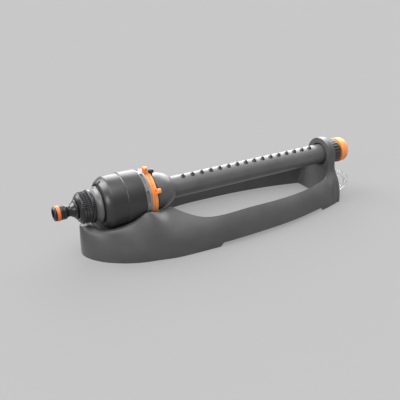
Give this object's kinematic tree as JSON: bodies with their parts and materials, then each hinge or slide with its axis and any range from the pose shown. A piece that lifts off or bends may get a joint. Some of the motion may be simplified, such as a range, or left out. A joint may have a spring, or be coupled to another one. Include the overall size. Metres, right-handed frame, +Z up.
{
  "type": "oscillating lawn sprinkler",
  "caption": "Oscillating lawn sprinkler: a spray tube with a row of nozzles turns between a geared drum and a hoop on a low arched base, with a quick hose connector at one end.",
  "frame": {"origin": "on the ground, under the middle of the part's length and width", "axes": "+X along the spray axis from the hose connector to the end cap, +Z up, -Y the side with the hang tab"},
  "size_m": [0.3928, 0.123, 0.0899],
  "materials": {
    "grey_plastic": "fine moulded texture, soft satin",
    "black_plastic": "satin",
    "orange_plastic": "satin gloss",
    "orange_rubber": "smooth",
    "black_rubber": "smooth",
    "white_acetal": "satin",
    "clear_plastic": "clear",
    "steel": "bright"
  },
  "bodies": {
    "base": {"base_frame": "grey_plastic", "hoop_bush": "black_plastic", "hang_tab": "clear_plastic", "drum_screws": "steel", "drum_front_shell": "grey_plastic", "drum_rear_shell": "grey_plastic", "pocket_ring": "grey_plastic", "journal_seal": "black_rubber", "hose_nipple": "black_plastic", "nipple_o_ring": "orange_rubber", "flat_washer": "black_rubber", "inlet_collar": "grey_plastic", "inlet_filter": "white_acetal", "stator_plate": "white_acetal", "front_gear_plate": "white_acetal", "layshaft_pins": "steel"},
    "spray": {"spray_tube": "grey_plastic", "spray_nozzles": "black_rubber", "dome_shell": "grey_plastic", "drive_hub": "black_plastic", "end_collar": "grey_plastic", "output_ring_gear": "white_acetal"},
    "trip": {"trip_lever": "black_plastic"},
    "cap": {"end_cap": "orange_plastic", "cap_seal": "black_rubber", "cleaning_needle": "steel"},
    "front_stop": {"front_stop_ring": "orange_plastic"},
    "rear_stop": {"rear_stop_ring": "orange_plastic"},
    "nut": {"union_nut": "black_plastic"},
    "turbine": {"turbine_wheel": "white_acetal", "turbine_shaft": "steel"},
    "upper_layshaft": {"layshaft_gear_upper": "white_acetal"},
    "lower_layshaft": {"layshaft_gear_lower": "white_acetal"},
    "selector": {"jet_selector": "white_acetal"}
  },
  "joints": [
    {"name": "tube_oscillate", "type": "hinge", "parent": "base", "child": "spray", "pos_m": [0, 0, 0.055], "axis": [1, 0, 0], "range_deg": [-60, 35]},
    {"name": "trip_flip", "type": "hinge", "parent": "spray", "child": "trip", "pos_m": [0, 0, 0.055], "axis": [1, 0, 0], "range_deg": [-8, 8]},
    {"name": "selector_shift", "type": "hinge", "parent": "base", "child": "selector", "pos_m": [0, 0, 0.055], "axis": [1, 0, 0], "range_deg": [-12, 12]},
    {"name": "cap_pull", "type": "slide", "parent": "spray", "child": "cap", "axis": [1, 0, 0], "range_m": [0, 0.03]},
    {"name": "front_stop_turn", "type": "hinge", "parent": "base", "child": "front_stop", "pos_m": [0, 0, 0.055], "axis": [1, 0, 0], "range_deg": [-75, 55]},
    {"name": "rear_stop_turn", "type": "hinge", "parent": "base", "child": "rear_stop", "pos_m": [0, 0, 0.055], "axis": [1, 0, 0], "range_deg": [-40, 20]},
    {"name": "nut_turn", "type": "hinge", "parent": "base", "child": "nut", "pos_m": [0, 0, 0.055], "axis": [1, 0, 0], "continuous": true},
    {"name": "turbine_spin", "type": "hinge", "parent": "base", "child": "turbine", "pos_m": [0, 0, 0.055], "axis": [1, 0, 0], "continuous": true},
    {"name": "upper_layshaft_spin", "type": "hinge", "parent": "base", "child": "upper_layshaft", "pos_m": [0, 0, 0.0686], "axis": [1, 0, 0], "continuous": true},
    {"name": "lower_layshaft_spin", "type": "hinge", "parent": "base", "child": "lower_layshaft", "pos_m": [0, 0, 0.0414], "axis": [1, 0, 0], "continuous": true}
  ],
  "couplings": [
    {"joint": "selector_shift", "follows": "trip_flip", "ratio": 1.5},
    {"joint": "turbine_spin", "follows": "tube_oscillate", "ratio": -10.56},
    {"joint": "upper_layshaft_spin", "follows": "tube_oscillate", "ratio": 4.4},
    {"joint": "lower_layshaft_spin", "follows": "tube_oscillate", "ratio": 4.4}
  ]
}
